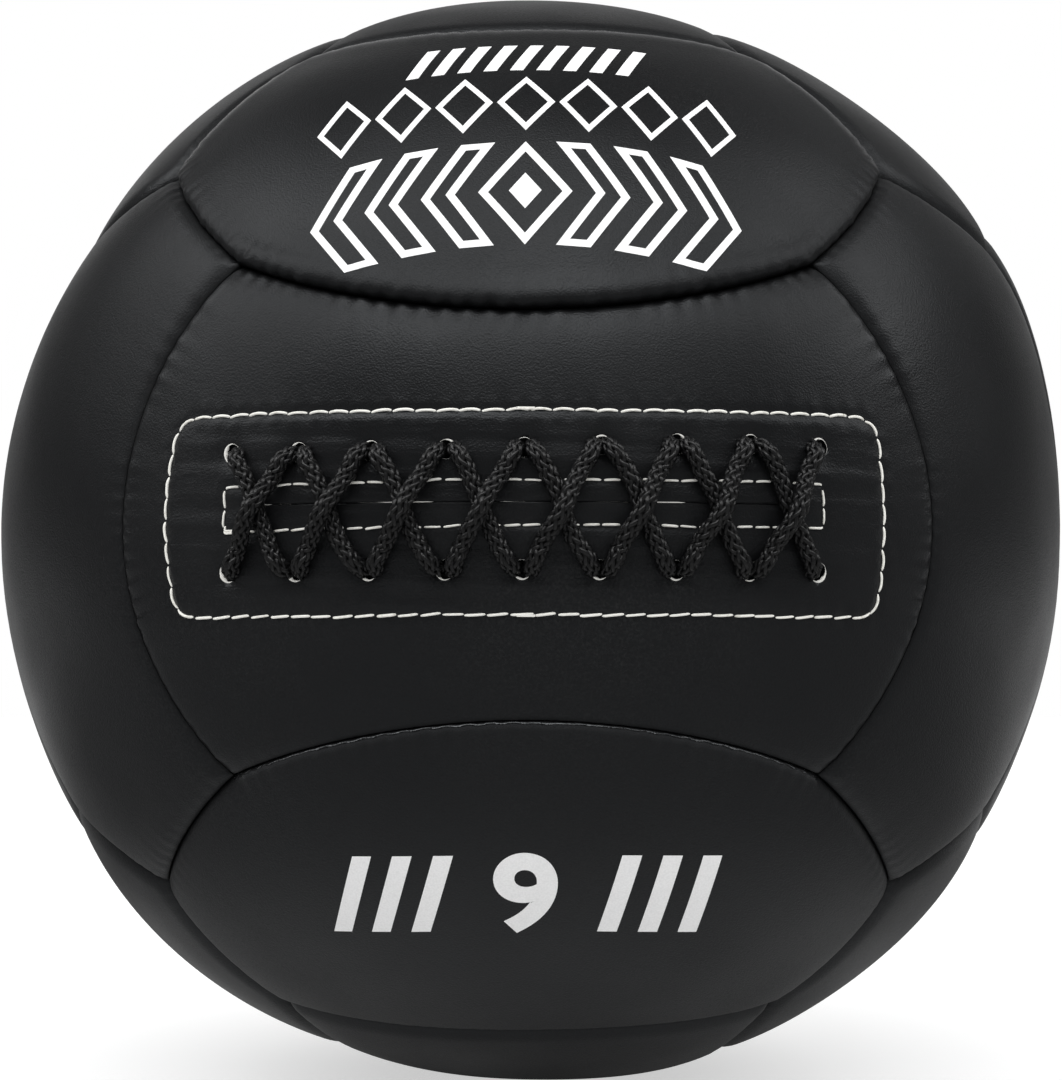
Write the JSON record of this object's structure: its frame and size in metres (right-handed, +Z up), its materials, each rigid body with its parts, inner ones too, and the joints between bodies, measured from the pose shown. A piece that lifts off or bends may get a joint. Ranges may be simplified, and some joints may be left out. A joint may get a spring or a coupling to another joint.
{
  "type": "slam ball",
  "caption": "Soft round training ball with a sewn cover of padded panels, a laced opening on a stitched patch, and a stuffed, weighted core.",
  "frame": {"origin": "middle of the small flat under the ball, where it rests", "axes": "+Z up, -Y out of the laced front, +X to the right of the lacing as seen from the front"},
  "size_m": [0.349, 0.3598, 0.3538],
  "materials": {
    "cover": "matte black synthetic leather, finely grained",
    "cord": "black braided cord",
    "thread": "off-white sewing thread",
    "foam": "grey foam",
    "canvas": "plain canvas",
    "fibre": "packed textile fibre",
    "shot": "sand and shot"
  },
  "bodies": {
    "root": {"front_panel": "cover", "front_upper_panel": "cover", "front_lower_panel": "cover", "back_panel": "cover", "back_upper_panel": "cover", "back_lower_panel": "cover", "top_panel": "cover", "top_left_panel": "cover", "top_right_panel": "cover", "bottom_panel": "cover", "bottom_left_panel": "cover", "bottom_right_panel": "cover", "left_panel": "cover", "left_front_panel": "cover", "left_back_panel": "cover", "right_panel": "cover", "right_front_panel": "cover", "right_back_panel": "cover", "lacing_patch": "cover", "tongue": "cover", "patch_stitching": "thread", "slit_stitching": "thread", "lace": "cord", "lace_knot": "cord", "foam_wrap": "foam", "foam_plug": "foam", "liner_bag": "canvas", "fibre_fill": "fibre", "fibre_plug": "fibre", "weight_bag": "canvas", "weight_fill": "shot", "bag_tie": "cord"}
  },
  "joints": []
}
